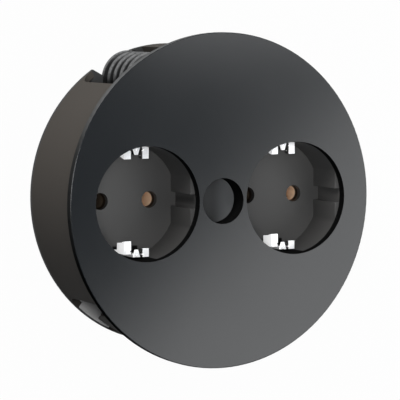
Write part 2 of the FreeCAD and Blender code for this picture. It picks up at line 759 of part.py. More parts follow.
def box(name, x, y, z, wide, deep, high):
    node = doc.addObject("Part::Box", name)
    for key, size in (("Length", wide), ("Width", deep), ("Height", high), ("Placement.Base.x", x),
                      ("Placement.Base.y", y), ("Placement.Base.z", z)):
        node.setExpression(key, Size.of(size).text)
    return node


def fuse(name, parts):
    node = doc.addObject("Part::MultiFuse", name)
    node.Shapes = parts
    node.Refine = True
    return node


def cut(name, base, tool):
    node = doc.addObject("Part::Cut", name)
    node.Base = base
    node.Tool = tool
    return node


def compound(name, parts):
    node = doc.addObject("Part::Compound", name)
    node.Label = name
    node.Links = parts
    return node


def make_sleeve(name, x):
    """Pin contact: split copper tube with a flared mouth, standing on its bar."""
    outer = cylinder(name + "_outer", sleeve_rad, sleeve_long, x, 0, bar_top)
    inner = cylinder(name + "_inner", d["sleeve_bore"] / 2, sleeve_long + 2, x, 0, bar_top - 1)
    mouth = cone(name + "_mouth", d["sleeve_bore"] / 2, d["sleeve_mouth"] / 2, d["mouth_deep"], x, 0,
                 floor_low - d["mouth_deep"])
    tube = cut(name + "_tube", cut(name + "_flared", outer, mouth), inner)
    slit = box(name + "_slit", x - d["sleeve_slit"] / 2, 0, bar_top + 2, d["sleeve_slit"], sleeve_rad * 2, sleeve_long)
    node = cut(name, tube, slit)
    node.Label = name
    return node


def make_busbar(name, sign):
    """Comb-shaped bar with a foot under each of its two sleeves; the other pole is turned by 180."""
    body = body_for(name)
    half = sleeve_rad
    one, two = -half_pitch - d["pin_pitch"] / 2, half_pitch - d["pin_pitch"] / 2
    near, far = d["bar_near"], d["bar_far"]
    outline = [(one - half, -half), (one + half, -half), (one + half, near), (two - half, near), (two - half, -half),
               (two + half, -half), (two + half, far), (one - half, far)]
    sketch = sketch_on(body, "XY_Plane", bar_top)
    polygon(sketch, [(x * sign, y * sign) for x, y in outline])
    x, y = cage_places()[0]
    circle(sketch, x * sign, y * sign, d["screw_dia"] / 2)
    pad(body, sketch, d["bar_thick"])
    return body


def make_earth_bar():
    """Straight bar under both earth clips."""
    long = half_pitch + d["bar_end"]
    node = box("earth_busbar", -long, d["bar_near"], earth_top - d["bar_thick"], long * 2,
               d["bar_far"] - d["bar_near"], d["bar_thick"])
    node.Label = "earth_busbar"
    return node


def make_carrier():
    """Moulded tray under the bars, with a centre post and two screw tabs."""
    body = body_for("contact_carrier")
    long = half_pitch + d["pin_pitch"] / 2 + sleeve_rad + d["carrier_rim"]
    wide, tab, half = d["bar_far"] + d["carrier_side"], post_y + d["tab_rim"], d["tab_half"]
    plate = sketch_on(body, "XY_Plane", bar_low)
    polygon(plate, [(-long, -wide), (-half, -wide), (-half, -tab), (half, -tab), (half, -wide), (long, -wide),
                    (long, wide), (half, wide), (half, tab), (-half, tab), (-half, wide), (-long, wide)])
    pad(body, plate, d["carrier_thick"])
    post = sketch_on(body, "XY_Plane", carrier_low)
    circle(post, 0, 0, d["hub_rad"])
    pad(body, post, floor_low - carrier_low, down=False)
    bore = sketch_on(body, "XY_Plane", floor_low + 1)
    circle(bore, 0, 0, d["stud_dia"] / 2)
    pocket(body, bore, d["screw_long"])
    holes = sketch_on(body, "XY_Plane", bar_low + 1)
    for sign in (-1, 1):
        circle(holes, 0, post_y * sign, d["screw_dia"] / 2 + 0.2)
    pocket(body, holes, d["carrier_thick"] + 2)
    cages = sketch_on(body, "XY_Plane", bar_low + 1)
    for x, y in cage_places()[:2]:
        circle(cages, x, y, d["screw_dia"] / 2 + 0.6)
    pocket(body, cages, d["carrier_thick"] + 2)
    return body


def cage_places():
    """Terminal centres: live, neutral and earth."""
    y = (d["bar_near"] + d["bar_far"]) / 2
    x = d["cage_wide"] / 2 + d["cage_in"]
    return [(x, y), (-x, -y), (-x, y)]


def make_terminal(name, place, low, sign):
    """Brass cage with a hole for the wire and a screw hole; it sits on or under its bar."""
    x, y = place
    wide, deep, high = d["cage_wide"], d["cage_deep"], d["cage_high"]
    start = low if sign > 0 else low - high
    block = box(name + "_block", x - wide / 2, y - deep / 2, start, wide, deep, high)
    wire = cylinder(name + "_wire", d["wire_bore"] / 2, wide * 2, x - wide, y, start + high * 0.62)
    wire.Placement.Rotation = FreeCAD.Rotation(FreeCAD.Vector(0, 1, 0), 90)
    node = cut(name + "_drilled", block, wire)
    bore = cylinder(name + "_bore", d["screw_dia"] / 2 - 0.2, high / 2 + 0.5, x, y, start - 0.5)
    node = cut(name, node, bore)
    node.Label = name
    return node


def make_grip_plug(name, index):
    """Ribbed rubber cylinder turned from one profile, with a bore and a seat for its washer."""
    body = body_for(name)
    x, y = plug_places()[index]
    profile = sketch_on(body, "XZ_Plane")
    top, low = -d["ceiling_low"], rear_low
    inner = d["stud_dia"] / 2 + 0.1
    deep, half, bevel = d["rib_deep"], d["rib_gap"] / 2, d["plug_bevel"]
    pitch = (top - low - d["plain_top"]) / 5.5
    seat = d["washer_dia"] / 2 + 0.1
    points = [(inner, top), (plug_rad - bevel, top), (plug_rad, top - bevel)]
    for i in range(6):
        middle = low + pitch * (5.5 - i)
        mouth, floor = half + d["rib_top"], half - d["rib_root"]
        points += [(plug_rad, middle + mouth), (plug_rad - deep, middle + floor),
                   (plug_rad - deep, middle - floor), (plug_rad, middle - mouth)]
    points += [(plug_rad, low + bevel), (plug_rad - bevel, low), (seat, low)]
    points += [(seat, low + d["washer_thick"]), (inner, low + d["washer_thick"])]
    polygon(profile, points)
    turned = body.newObject("PartDesign::Revolution", "Turned")
    turned.Profile = profile
    for feature in body.Origin.OriginFeatures:
        if feature.Role == "Z_Axis":
            turned.ReferenceAxis = (feature, [""])
    turned.Angle = 360
    profile.Visibility = False
    body.Placement.Base = FreeCAD.Vector(x.value, y.value, 0)
    body.setExpression("Placement.Base.x", x.text)
    body.setExpression("Placement.Base.y", y.text)
    return body


def driver_slot(name, x, y, top):
    """Cutter for the screwdriver slot of a large head whose face is at this level."""
    long, wide = d["slot_long"], d["slot_wide"]
    return box(name, x - long / 2, y - wide / 2, top - wide, long, wide, wide * 2)


def make_plug_hardware():
    """Screws that hang from the pocket ceilings and the threaded discs at the plugs' rear ends."""
    screws, discs = [], []
    for i, (x, y) in enumerate(plug_places()):
        start = -d["ceiling_top"]
        head = cylinder("plug_head_%d" % i, d["stud_head"] / 2, d["head_high"], x, y, start)
        driver = driver_slot("plug_driver_%d" % i, x, y, start + d["head_high"])
        slotted = cut("plug_slotted_%d" % i, head, driver)
        low = rear_low + 0.3
        stem = cylinder("plug_stem_%d" % i, d["stud_dia"] / 2, start - low + 0.5, x, y, low)
        screws.append(fuse("plug_screw_%d" % i, [slotted, stem]))
        disc = cylinder("plug_disc_%d" % i, d["washer_dia"] / 2, d["washer_thick"], x, y, rear_low)
        bore = cylinder("plug_disc_bore_%d" % i, d["stud_dia"] / 2, d["washer_thick"] + 2, x, y, rear_low - 1)
        discs.append(cut("plug_washer_%d" % i, disc, bore))
    compound("plug_screws", screws)
    compound("plug_washers", discs)
    return ["plug_screws", "plug_washers"]


def make_flat_head(name, x, y, z, long, up):
    """Countersunk screw; z is the face of its head and up is the side that the head faces."""
    high = (d["screw_head"] - d["screw_dia"]) / 2
    width, across = d["flat_slot"], high * 3
    if up:
        head = cone(name + "_head", d["screw_dia"] / 2, d["screw_head"] / 2, high, x, y, z - high)
        stem = cylinder(name + "_stem", d["screw_dia"] / 2, long - high / 2, x, y, z - long)
        slot = box(name + "_slot", x - across / 2, y - width / 2, z - width, across, width, width * 2)
    else:
        head = cone(name + "_head", d["screw_head"] / 2, d["screw_dia"] / 2, high, x, y, z)
        stem = cylinder(name + "_stem", d["screw_dia"] / 2, long - high / 2, x, y, z + high / 2)
        slot = box(name + "_slot", x - across / 2, y - width / 2, z - width, across, width, width * 2)
    return cut(name, fuse(name + "_solid", [head, stem]), slot)


def make_fasteners():
    """Fixing screws, grouped where they are identical."""
    block, rear = [], []
    for i, (x, y) in enumerate(boss_places()):
        block.append(make_flat_head("block_screw_%d" % i, x, y, -d["head_sink"], d["screw_long"], True))
        rear.append(make_flat_head("rear_screw_%d" % i, x, y, rear_low, d["rear_long"], False))
    compound("block_screws", block)
    compound("rear_screws", rear)
    carrier = []
    for i, sign in enumerate((-1, 1)):
        y = post_y * sign
        head = cylinder("carrier_head_%d" % i, d["screw_head"] / 2, Size.of(1.8), 0, y, carrier_low - 1.8)
        stem = cylinder("carrier_stem_%d" % i, d["screw_dia"] / 2, d["screw_long"] - 2.5, 0, y, carrier_low - 0.5)
        carrier.append(fuse("carrier_screw_%d" % i, [head, stem]))
    compound("carrier_screws", carrier)
    cages = []
    head_high, grip = d["cage_head"], d["cage_high"] / 3
    for i, (x, y) in enumerate(cage_places()):
        low = bar_low if i < 2 else cage_low
        long = grip + 0.5 + (d["bar_thick"] if i < 2 else 0)
        head = cylinder("terminal_head_%d" % i, d["screw_dia"] / 2 + 0.4, head_high, x, y, low - head_high)
        stem = cylinder("terminal_stem_%d" % i, d["screw_dia"] / 2 - 0.2, long, x, y, low - 0.5)
        cages.append(fuse("terminal_screw_%d" % i, [head, stem]))
    compound("terminal_screws", cages)
    head = cylinder("centre_head", d["stud_head"] / 2, d["head_high"], 0, 0, head_seat)
    driver = driver_slot("centre_driver", Size.of(0), Size.of(0), head_seat + d["head_high"])
    long = head_seat - floor_low + d["rear_long"]
    stem = cylinder("centre_stem", d["stud_dia"] / 2, long + 0.5, 0, 0, head_seat - long)
    fuse("centre_screw", [cut("centre_slotted", head, driver), stem]).Label = "centre_screw"
    return ["block_screws", "rear_screws", "carrier_screws", "terminal_screws", "centre_screw"]


nodes = ["cover_plate", "socket_block", "housing_shell", "rear_plate", "centre_cap"]
make_cover()
make_block()
make_shell()
make_rear_plate()
make_cap()
for sign, word in sides():
    make_earth_clip(sign, word)
    nodes.append("earth_clip_" + word)
    x = half_pitch * sign
    for pole, side in (("live", -1), ("neutral", 1)):
        make_sleeve("contact_%s_%s" % (pole, word), x + d["pin_pitch"] / 2 * side)
        nodes.append("contact_%s_%s" % (pole, word))
make_busbar("live_busbar", 1)
make_busbar("neutral_busbar", -1)
make_earth_bar()
make_carrier()
cages = cage_places()
make_terminal("terminal_live", cages[0], bar_top, 1)
make_terminal("terminal_neutral", cages[1], bar_top, 1)
make_terminal("terminal_earth", cages[2], earth_top - d["bar_thick"], -1)
make_grip_plug("grip_plug_upper", 0)
make_grip_plug("grip_plug_lower", 1)
nodes += ["live_busbar", "neutral_busbar", "earth_busbar", "contact_carrier", "terminal_live", "terminal_neutral",
          "terminal_earth", "grip_plug_upper", "grip_plug_lower"]
nodes += make_plug_hardware()
nodes += make_fasteners()

doc.recompute()
for thing in doc.Objects:
    if "Invalid" in thing.State or "Error" in thing.State:
        raise RuntimeError("%s did not build" % thing.Label)
os.makedirs("parts", exist_ok=True)
for name in nodes:
    shape = doc.getObjectsByLabel(name)[0].Shape
    if shape.isNull() or not shape.isValid():
        raise RuntimeError("%s has no valid shape" % name)
for name in nodes:
    doc.getObjectsByLabel(name)[0].Shape.exportStep("parts/%s.step" % name)
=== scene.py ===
import json
import math

import bmesh
import bpy
from mathutils import Matrix, Vector


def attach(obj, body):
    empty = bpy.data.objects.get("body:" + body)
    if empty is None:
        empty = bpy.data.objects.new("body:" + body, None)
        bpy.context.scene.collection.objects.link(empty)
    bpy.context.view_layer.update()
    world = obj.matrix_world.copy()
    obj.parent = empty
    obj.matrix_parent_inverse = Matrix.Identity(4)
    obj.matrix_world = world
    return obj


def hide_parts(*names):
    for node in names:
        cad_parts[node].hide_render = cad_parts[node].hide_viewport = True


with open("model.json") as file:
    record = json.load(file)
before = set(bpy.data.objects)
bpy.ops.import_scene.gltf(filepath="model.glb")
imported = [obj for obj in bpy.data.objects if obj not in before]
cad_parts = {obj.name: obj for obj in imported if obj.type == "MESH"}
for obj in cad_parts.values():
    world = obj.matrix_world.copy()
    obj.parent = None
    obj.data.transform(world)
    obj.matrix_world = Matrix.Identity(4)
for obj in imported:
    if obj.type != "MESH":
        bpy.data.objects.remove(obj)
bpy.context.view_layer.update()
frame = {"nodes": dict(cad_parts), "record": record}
nodes = frame["nodes"]

MM = 0.001
BODY = "root"

# Measures that the solids have too, in millimetres and degrees
COVER_TOP = 2.5
REAR_LOW = -40.6
BORE_RAD = 51.45
HALF_PITCH = 29.05
PLUG_RAD = 10.1
PLUG_TOP = -7.4
PLUG_CIRCLE = 44.0
PLUG_TURN = 110.8
RIB_PITCH = 4.7
RIB_DEEP = 1.5
WASHER_RAD = 7.0
WASHER_THICK = 1.6
BOSS_CIRCLE = 46.5
BOSS_TURN = 35.0
SCREW_HEAD = 5.6
SCREW_RAD = 1.5
MOUTH_LOW = -19.1
OUTLET_TURN = 232.2
OUTLET_X = math.cos(math.radians(OUTLET_TURN))
OUTLET_Y = math.sin(math.radians(OUTLET_TURN))

# Places where a finish, with the light and shade painted into it, changes along its piece, in millimetres
RIM_FROM = 51.0
WELL_WALL = 9.25
SLOT_HALF = 4.8
SLOT_START = 15.9
BAND_LOW = -0.8
OUTLET_HALF = 20.0
OUTLET_REACH = (46.0, 55.5)
SHEET_EDGE = 53.4
SHEET_INSIDE = 1.0
TOOTH_HALF = 1.325
PRONG_SIDE = 2.2
CLIP_SHADE = -8.9

# Measures of the shapes made here, in millimetres and degrees
ROUND_LIMIT = 34.0
SCREW_CREASE = 35.0
RIM_EDGE = 56.0
RIM_MIDDLE = 1.0
SEAT_PLAY = 0.1
GROOVE_FLAT = 0.08
GROOVE_EASE = 0.38
FOOT_HIGH = 1.5
FOOT_EASE = 0.5
FOOT_SPREAD = 0.35
THREAD_START = 1.0
WELD = 0.002
SLEEVE_WELD = 0.004
TOUCH = 0.0001


# Node trees

class Signal:
    """One output of a node tree; arithmetic on it adds Math nodes."""

    def __init__(self, owner, socket):
        self.owner = owner
        self.socket = socket

    def math(self, operation, *values):
        return self.owner.node("ShaderNodeMath", {"operation": operation}, dict(enumerate(values)))

    def __add__(self, other):
        return self.math("ADD", self, other)

    def __radd__(self, other):
        return self.math("ADD", other, self)

    def __sub__(self, other):
        return self.math("SUBTRACT", self, other)

    def __rsub__(self, other):
        return self.math("SUBTRACT", other, self)

    def __mul__(self, other):
        return self.math("MULTIPLY", self, other)

    def __rmul__(self, other):
        return self.math("MULTIPLY", other, self)

    def __truediv__(self, other):
        return self.math("DIVIDE", self, other)

    def __rtruediv__(self, other):
        return self.math("DIVIDE", other, self)

    def __pow__(self, other):
        return self.math("POWER", self, other)

    def __abs__(self):
        return self.math("ABSOLUTE", self)

    def largest(self, other):
        return self.math("MAXIMUM", self, other)

    def smallest(self, other):
        return self.math("MINIMUM", self, other)

    def fraction(self):
        return self.math("FRACT", self)

    def equals(self, other):
        return self.math("COMPARE", self, other, TOUCH * MM)


class Tree:
    """A node tree; plain calls add nodes and link them."""

    def __init__(self, tree):
        self.tree = tree

    def node(self, kind, settings=None, inputs=None, output=0):
        """Adds any node: its settings first, then values or links for its sockets."""
        node = self.tree.nodes.new(kind)
        for key, value in (settings or {}).items():
            setattr(node, key, value)
        for key, value in (inputs or {}).items():
            self.feed(node.inputs[key], value)
        return Signal(self, node.outputs[output])

    def feed(self, socket, value):
        if isinstance(value, Signal):
            self.tree.links.new(value.socket, socket)
        else:
            socket.default_value = value

    def ease(self, value, low, high):
        """Rises smoothly from 0 at low to 1 at high."""
        settings = {"interpolation_type": "SMOOTHSTEP"}
        return self.node("ShaderNodeMapRange", settings, {"Value": value, "From Min": low, "From Max": high})

    def past(self, value, place, soft):
        """0 before a place and 1 past it, with a soft change on both sides of it."""
        return self.ease(value, place - soft, place + soft)

    def ray(self, kind):
        """1 for light rays of one kind."""
        return self.node("ShaderNodeLightPath", {}, {}, "Is %s Ray" % kind)


class Finish(Tree):
    """A material with one Principled shader, built node by node."""

    def __init__(self, name, **fixed):
        self.material = bpy.data.materials.new(name)
        self.material.use_nodes = True
        super().__init__(self.material.node_tree)
        self.tree.nodes.clear()
        self.out = self.tree.nodes.new("ShaderNodeOutputMaterial")
        self.shader = self.tree.nodes.new("ShaderNodeBsdfPrincipled")
        self.tree.links.new(self.shader.outputs[0], self.out.inputs["Surface"])
        for socket, value in fixed.items():
            self.set(socket.replace("_", " "), value)
        place = self.node("ShaderNodeTexCoord", {}, {}, "Object")
        self.place = self.node("ShaderNodeMapping", {}, {"Vector": place, "Scale": (1 / MM, 1 / MM, 1 / MM)})

    def set(self, socket, value):
        self.feed(self.shader.inputs[socket], value)

    def noise(self, scale, detail, rough=0.5, stretch=(1, 1, 1)):
        """Noise whose scale counts waves per millimetre."""
        place = self.node("ShaderNodeMapping", {}, {"Vector": self.place, "Scale": stretch})
        inputs = {"Vector": place, "Scale": scale, "Detail": detail, "Roughness": rough}
        return self.node("ShaderNodeTexNoise", {}, inputs, "Fac")

    def axis(self, name):
        """One coordinate in millimetres."""
        return self.node("ShaderNodeSeparateXYZ", {}, {0: self.place}, name)

    def side(self, name):
        """-1 on one side of the body's axis and 1 on the other."""
        return self.past(self.axis(name), 0.0, 1.0) * 2 - 1

    def radius(self):
        """Distance from the body's axis in millimetres."""
        x, y = self.axis("X"), self.axis("Y")
        return (x * x + y * y) ** 0.5

    def facing(self, name):
        """One component of the surface's own direction."""
        direction = self.node("ShaderNodeTexCoord", {}, {}, "Normal")
        return self.node("ShaderNodeSeparateXYZ", {}, {0: direction}, name)

    def flank(self):
        """1 on upright walls and 0 on level faces."""
        return 1 - self.ease(abs(self.facing("Z")), 0.35, 0.8)

    def blend(self, factor, one, two):
        return self.node("ShaderNodeMix", {"data_type": "RGBA"}, {0: factor, 6: one, 7: two}, 2)

    def tint(self, shade):
        """Multiplies the base colour by a shade."""
        colour = Signal(self, self.shader.inputs["Base Color"].links[0].from_socket)
        settings = {"data_type": "RGBA", "blend_type": "MULTIPLY"}
        self.set("Base Color", self.node("ShaderNodeMix", settings, {0: 1.0, 6: colour, 7: shade}, 2))

    def bump(self, height, strength, reach):
        """Raises the surface by a height; reach is its distance in millimetres."""
        inputs = {"Height": height, "Strength": strength, "Distance": reach * MM}
        self.set("Normal", self.node("ShaderNodeBump", {}, inputs))

    def show_where(self, mask, shader):
        """Shows another shader where the mask is 1."""
        own = Signal(self, self.shader.outputs[0])
        self.feed(self.out.inputs["Surface"], self.node("ShaderNodeMixShader", {}, {0: mask, 1: own, 2: shader}))

    def lay_over(self, mask, colour, rough, gloss):
        """A second, plainer surface where the mask is 1."""
        inputs = {"Base Color": colour, "Roughness": rough, "Specular IOR Level": gloss}
        self.show_where(mask, self.node("ShaderNodeBsdfPrincipled", {}, inputs))


# Finishes

def grey(level, warm=0.0):
    """A near-neutral colour; warm shifts it to brown, or to blue when negative."""
    return (level * (1 + warm), level, level * (1 - warm), 1.0)


def scaled(colour, share):
    """A colour times a share, as the shader's sockets take it."""
    return tuple(value * share for value in colour) + (1.0,)


def moulded(name, level, warm, rough, grain, depth, cloud, gloss):
    """Moulded plastic: spark-eroded grain, slight clouding of colour and of roughness."""
    finish = Finish(name, Specular_IOR_Level=gloss)
    cloudy = finish.noise(0.03, 2.0)
    fine = finish.noise(grain, 4.0, 0.6)
    pores = finish.noise(grain * 2.3, 2.0)
    shade = cloudy * 0.6 + fine * 0.4
    finish.set("Base Color", finish.blend(shade, grey(level * (1 - cloud), warm), grey(level * (1 + cloud), warm)))
    finish.set("Roughness", rough + (fine - 0.5) * 0.10 + (cloudy - 0.5) * 0.06)
    finish.bump(fine * 0.7 + pores * 0.3, 0.35, depth)
    return finish


def cover_finish():
    """Satin cover: near-black face that lives from its reflection; walls in painted shade and a painted highlight on
    the upper rim.
    """
    finish = moulded("satin_cover", 0.003, -0.25, rough=0.24, grain=5.0, depth=0.008, cloud=0.08, gloss=0.5)
    y = finish.axis("Y")
    # Painted highlight: the outer rim's colour rises from near-black at the bottom to pale at the top, where light
    # falls
    edge = finish.blend(finish.ease(y, -30.0, 20.0), grey(0.002), grey(0.018))
    edge = finish.blend(finish.ease(y, 14.0, 40.0), edge, grey(0.075))
    rim = finish.past(finish.radius(), RIM_FROM, 1.0)
    # Painted shade: upright walls turn near-black inside the outer rim, which takes the painted highlight
    finish.lay_over(finish.flank(), finish.blend(rim, grey(0.003), edge), 0.75, 0.0)
    return finish.material


def well_finish():
    """Cap at the bottom of the centre well: a matt grain, with painted shade to the left and painted light to the
    right.
    """
    finish = moulded("well_cap", 0.072, -0.02, rough=0.6, grain=5.0, depth=0.01, cloud=0.08, gloss=0.0)
    # Painted light and shade: the cap's colour rises from left to right across the well
    finish.tint(finish.blend(finish.ease(finish.axis("X"), -1.0, 7.0), grey(0.5), grey(1.45)))
    return finish.material


def sleeve_finish(name, lit_share):
    """Copper pin sleeves: metal in the bore, painted shade in dark brown at the flared mouth; the last argument
    scales the metal's tone and gloss, and a low value makes a darker copy as painted shade.
    """
    finish = Finish(name, Metallic=0.3, Specular_IOR_Level=0.3 * lit_share)
    stain = finish.noise(0.5, 3.0, 0.55)
    lines = finish.noise(4.0, 3.0, 0.6, (3.0, 3.0, 0.2))
    low, high = scaled((0.8, 0.56, 0.38), lit_share), scaled((1.0, 0.8, 0.58), lit_share)
    metal = finish.blend(stain * 0.7 + lines * 0.3, low, high)
    # Painted shade: above this level the flared mouth turns dark brown
    mouth = finish.past(finish.axis("Z"), MOUTH_LOW, 0.2)
    finish.set("Base Color", finish.blend(mouth, metal, (0.02, 0.013, 0.009, 1.0)))
    finish.set("Roughness", 0.45 + (lines - 0.5) * 0.15)
    finish.bump(lines, 0.2, 0.02)
    return finish.material


def insert_finish():
    """Socket insert: matt grain; painted shade on its walls, in a band under the cover, at the well and in the slots
    at the clips, and painted light and shade across the right socket.
    """
    finish = moulded("insert_plastic", 0.049, 0.03, rough=0.55, grain=3.5, depth=0.02, cloud=0.1, gloss=0.4)
    x, y, z = finish.axis("X"), finish.axis("Y"), finish.axis("Z")
    # Painted light and shade: the right socket is darker to its left and brighter to its right
    right_socket_painted_light = finish.blend(finish.ease(x, 17.0, 44.0), grey(0.5), grey(1.2))
    finish.tint(finish.blend(finish.past(x, 0.0, 2.0), grey(1.0), right_socket_painted_light))
    # Painted shade in the slots where the earth clips go down
    beside_clip = abs(abs(x) - HALF_PITCH)
    clip_slot_shade = (1 - finish.past(beside_clip, SLOT_HALF, 0.2)) * finish.past(abs(y), SLOT_START, 0.3)
    # Painted shade on the walls of a band under the cover and of the centre well
    band = finish.past(z, BAND_LOW, 0.15)
    well = 1 - finish.past(finish.radius(), WELL_WALL, 0.25)
    # Painted shade on the other upright walls, heavier towards the low side; all of it is laid over as near-black
    share = 0.32 - finish.ease(y, -9.0, 3.0) * 0.22
    dull_and_shaded = (finish.flank() * share.largest(band).largest(well)).largest(clip_slot_shade)
    finish.lay_over(dull_and_shaded, grey(0.004), 0.7, 0.0)
    return finish.material


def housing_finish():
    """Housing: warm dark grey outside with painted shade darker to its low side, and painted shade, near-black,
    inside the wall.
    """
    finish = moulded("housing_plastic", 0.046, 0.12, rough=0.62, grain=2.6, depth=0.03, cloud=0.06, gloss=0.05)
    # Painted shade: darker towards the low side
    finish.tint(finish.blend(finish.ease(finish.axis("Y"), -45.0, 40.0), grey(0.56), grey(1.0)))
    # Painted shade: the inner faces of the wall turn near-black
    inside = 1 - finish.past(finish.radius(), BORE_RAD + 0.1, 0.05)
    finish.lay_over(inside, grey(0.01, 0.05), 0.7, 0.0)
    return finish.material


def rear_sheet_finish():
    """Rear plate: dark satin outside; its inner face gets painted light, paler where the lead outlet lets light in.
    """
    finish = moulded("rear_sheet_plastic", 0.035, 0.0, rough=0.45, grain=3.0, depth=0.015, cloud=0.1, gloss=0.2)
    x, y = finish.axis("X"), finish.axis("Y")
    beside = 1 - finish.past(abs(x * OUTLET_Y - y * OUTLET_X), OUTLET_HALF, 0.5)
    ahead = finish.ease(x * OUTLET_X + y * OUTLET_Y, *OUTLET_REACH)
    within = 1 - finish.past(finish.radius(), SHEET_EDGE, 0.1)
    upper = finish.past(finish.axis("Z"), REAR_LOW + SHEET_INSIDE, 0.1)
    # Painted light: the inner face turns pale within the outlet's sector
    finish.lay_over(beside * (ahead * within) * upper, grey(0.36, 0.03), 0.5, 0.3)
    return finish.material


def rubber_finish():
    """Dull grey rubber with a dusty bloom on its ribs, painted shade in its grooves and painted shade on its side
    towards the body's axis.
    """
    finish = Finish("grip_rubber", Specular_IOR_Level=0.12)
    dust = finish.ease(finish.noise(1.1, 4.0, 0.65), 0.3, 0.7)
    flow = finish.noise(0.9, 3.0, 0.5, (1.0, 1.0, 0.6))
    groove = finish.node("ShaderNodeAttribute", {"attribute_name": "groove"}, {}, "Fac")
    outside = finish.facing("Y") * finish.side("Y")
    # Painted shade in the grooves, fading where the surface turns outward
    groove_shade = finish.ease(groove, 0.02, 0.4) * (1 - finish.ease(outside, 0.3, 0.75) * 0.85)
    ridge = finish.blend(dust * 0.6 + flow * 0.4, grey(0.04), grey(0.16))
    finish.set("Base Color", finish.blend(groove_shade, ridge, grey(0.008)))
    # Painted shade: the side turned towards the body's axis is darker
    finish.tint(finish.blend(finish.ease(outside, -0.1, 0.35), grey(0.15), grey(1.0)))
    finish.set("Roughness", 0.58 + (dust - 0.5) * 0.25)
    finish.bump(flow * 0.5 + dust * 0.5, 0.5, 0.05)
    return finish.material


def nickel_finish():
    """Bright nickel springs: upright faces glow with painted light; painted shade darkens the slits beside the tooth
    and the low right side.
    """
    finish = Finish("nickel_spring", Metallic=0.2, Emission_Strength=1.0)
    lines = finish.noise(3.0, 3.0, 0.6, (0.15, 3.0, 3.0))
    across = finish.axis("X") - finish.side("X") * HALF_PITCH
    # Painted shade in the slits beside the tooth and on the low right side, laid over as near-black
    slit_shade = finish.past(abs(across), TOOTH_HALF, 0.075) * (1 - finish.past(abs(across), PRONG_SIDE, 0.1))
    low_right_shade = (1 - finish.past(finish.axis("Z"), CLIP_SHADE, 0.3)) * finish.past(across, TOOTH_HALF - 0.025, 0.1)
    finish.set("Base Color", finish.blend(lines, grey(0.93), grey(0.97)))
    finish.set("Roughness", 0.25 + (lines - 0.5) * 0.16)
    # Painted light: upright faces glow though no lamp is in them
    finish.set("Emission Color", finish.blend(finish.flank(), grey(0.0), grey(0.45)))
    finish.lay_over(slit_shade.largest(low_right_shade), grey(0.004), 0.6, 0.5)
    return finish.material


def metal_finish(name, colour, rough, brush, stretch, tarnish):
    """Drawn or stamped metal: fine lines along one direction and slight tarnish."""
    finish = Finish(name, Metallic=1.0)
    lines = finish.noise(brush, 3.0, 0.6, stretch)
    stain = finish.noise(0.35, 3.0, 0.55)
    dark = scaled(colour, 1 - tarnish * 2)
    finish.set("Base Color", finish.blend(stain * 0.7 + lines * 0.3, dark, scaled(colour, 1.0)))
    finish.set("Roughness", rough + (lines - 0.5) * 0.16 + (stain - 0.5) * 0.1)
    finish.bump(lines, 0.25, 0.02)
    return finish.material


finishes = {
    "cover": cover_finish(),
    "insert": insert_finish(),
    "housing": housing_finish(),
    "rear_sheet": rear_sheet_finish(),
    "grip_rubber": rubber_finish(),
    "nickel_spring": nickel_finish(),
    "copper_alloy": metal_finish("copper_alloy", (0.62, 0.33, 0.18), 0.42, 4.0, (3.0, 3.0, 0.2), 0.12),
    "brass_block": metal_finish("brass_block", (0.75, 0.58, 0.28), 0.35, 4.0, (3.0, 3.0, 0.3), 0.08),
    "zinc_steel": metal_finish("zinc_steel", (0.62, 0.63, 0.64), 0.34, 3.0, (1.0, 1.0, 1.0), 0.08),
}

slots = {entry["node"]: entry["material_slot"] for entry in frame["record"]["subparts"]}
dressed = {name: finishes[slot] for name, slot in slots.items()}
dressed["centre_cap"] = well_finish()
# The live sleeves take a darker copy of the copper: painted shade, where little light reaches into their holes
sleeves = {"neutral": sleeve_finish("copper_sleeve", 1.0), "live": sleeve_finish("dull_sleeve", 0.12)}
for pole, finish in sleeves.items():
    for side in ("left", "right"):
        dressed["contact_%s_%s" % (pole, side)] = finish
for name, part in nodes.items():
    part.data.materials.clear()
    part.data.materials.append(dressed[name])


# Pieces made from the solids

def new_object(name, data):
    piece = bpy.data.objects.new(name, data)
    bpy.context.scene.collection.objects.link(piece)
    return piece


def merged_copy(name, label):
    """A copy of a solid's mesh with its triangles joined, as an object of its own."""
    mesh = nodes[name].data.copy()
    mesh.name = label
    work = bmesh.new()
    work.from_mesh(mesh)
    bmesh.ops.remove_doubles(work, verts=work.verts, dist=WELD * MM)
    work.to_mesh(mesh)
    work.free()
    return new_object(label, mesh)


def round_rim(piece, width, share):
    """Rounds the cover's outer top edge by the width and its other edges by a share; its level faces stay flat."""
    mesh = piece.data
    mesh.set_sharp_from_angle(angle=math.radians(ROUND_LIMIT))
    sharp = mesh.attributes["sharp_edge"].data
    weight = mesh.attributes.new("bevel_weight_edge", "FLOAT", "EDGE").data
    for i, edge in enumerate(mesh.edges):
        if sharp[i].value:
            spot = mesh.vertices[edge.vertices[0]].co
            weight[i].value = 1.0 if spot.xy.length > RIM_EDGE * MM and spot.z > RIM_MIDDLE * MM else share
    for face in mesh.polygons:
        face.use_smooth = abs(face.normal.z) < 0.9
    bevel = piece.modifiers.new("edges", "BEVEL")
    bevel.width = width * MM
    bevel.segments = 3
    bevel.limit_method = "WEIGHT"


def soften(piece, width):
    """Small rounded edges and smooth round faces, as moulding leaves them."""
    piece.data.shade_smooth()
    piece.data.set_sharp_from_angle(angle=math.radians(ROUND_LIMIT))
    bevel = piece.modifiers.new("edges", "BEVEL")
    bevel.width = width * MM
    bevel.segments = 2
    bevel.limit_method = "ANGLE"
    bevel.angle_limit = math.radians(ROUND_LIMIT)
    even = piece.modifiers.new("even_normals", "WEIGHTED_NORMAL")
    even.weight = 100
    even.keep_sharp = False


def stand_for(piece, node):
    """Rides on the one body, takes the node's finish and takes its place."""
    piece.data.materials.clear()
    piece.data.materials.append(dressed[node])
    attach(piece, BODY)
    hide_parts(node)


